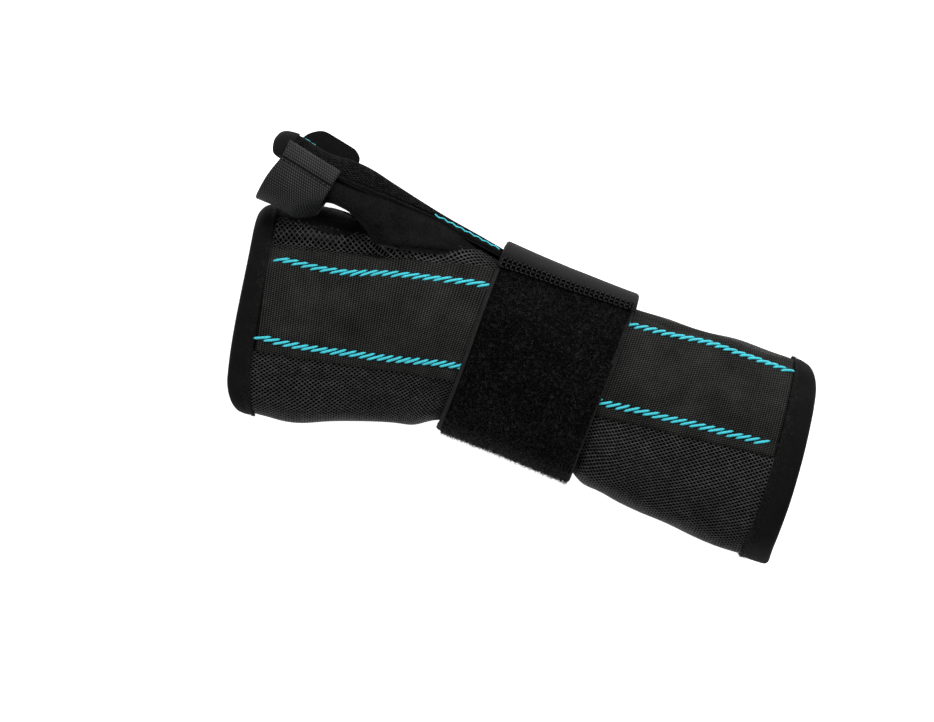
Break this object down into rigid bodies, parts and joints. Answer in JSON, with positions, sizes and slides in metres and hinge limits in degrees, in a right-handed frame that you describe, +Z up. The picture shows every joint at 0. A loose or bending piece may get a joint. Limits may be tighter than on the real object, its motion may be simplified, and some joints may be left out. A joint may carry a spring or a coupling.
{
  "type": "wrist splint",
  "caption": "Right-hand wrist and thumb splint: a padded mesh sleeve with stay pockets, a stiffened thumb guard with its strap, and a wide hook-and-loop wrist strap.",
  "frame": {"origin": "on the flat underside of the wrist strap, at the middle of its width along the forearm", "axes": "+X along the forearm towards the elbow, so the fingers are at -X; +Y across it to the thumb side; +Z up, out of the palm, which faces up"},
  "size_m": [0.2464, 0.1196, 0.0588],
  "materials": {
    "lining_cloth": "brushed warp-knit spacer lining",
    "diamond_mesh": "black diamond-hole spacer mesh",
    "pocket_twill": "finely woven dark grey pocket cloth",
    "stay_metal": "bent flat strip, satin",
    "stay_cap": "dipped vinyl end",
    "cyan_thread": "double decorative thread",
    "binding_cloth": "folded stretch binding",
    "stretch_velour": "short-napped stretch cloth",
    "woven_elastic": "woven elastic webbing",
    "strap_laminate": "foam-backed laminate",
    "loop_pile": "brushed loop pile",
    "ladder_stitching": "three-row ladder stitching over the tab's sewn end",
    "hook_tape": "moulded hook tape"
  },
  "bodies": {
    "sleeve": {"lining_sleeve": "lining_cloth", "mesh_panel_ulnar": "diamond_mesh", "mesh_panel_radial": "diamond_mesh", "palmar_pocket_cover": "pocket_twill", "dorsal_pocket_cover": "pocket_twill", "palmar_stay": "stay_metal", "dorsal_stay": "stay_metal", "thumb_stay": "stay_metal", "palmar_stay_caps": "stay_cap", "dorsal_stay_caps": "stay_cap", "stitch_line_radial": "cyan_thread", "stitch_line_ulnar": "cyan_thread", "distal_binding": "binding_cloth", "proximal_binding": "binding_cloth", "thumb_guard_binding": "binding_cloth", "thumb_gusset": "stretch_velour", "thumb_guard_lining": "lining_cloth", "thumb_guard_shell": "diamond_mesh", "thumb_guard_loop_patch": "loop_pile", "thumb_strap": "woven_elastic", "wrist_strap_back": "strap_laminate"},
    "wrist_strap_flap": {"wrist_strap_pile": "loop_pile", "wrist_strap_seam": "ladder_stitching"},
    "hook_tab": {"wrist_strap_tab": "strap_laminate", "wrist_strap_hook_patch": "hook_tape"},
    "thumb_strap_flap": {"thumb_strap_end": "woven_elastic", "thumb_strap_hook_patch": "hook_tape"}
  },
  "joints": [
    {"name": "wrist_strap_peel", "type": "hinge", "parent": "sleeve", "child": "wrist_strap_flap", "pos_m": [0, -0.04035, 0.023], "axis": [1, 0, 0], "range_deg": [0, 95]},
    {"name": "hook_tab_peel", "type": "hinge", "parent": "wrist_strap_flap", "child": "hook_tab", "pos_m": [0, 0.0342, 0.03958], "axis": [1, 0, 0], "range_deg": [0, 70]},
    {"name": "thumb_strap_peel", "type": "hinge", "parent": "sleeve", "child": "thumb_strap_flap", "pos_m": [-0.1151, 0.03145, 0.02285], "axis": [-0.9816, 0.1908, 0], "range_deg": [0, 50]}
  ]
}
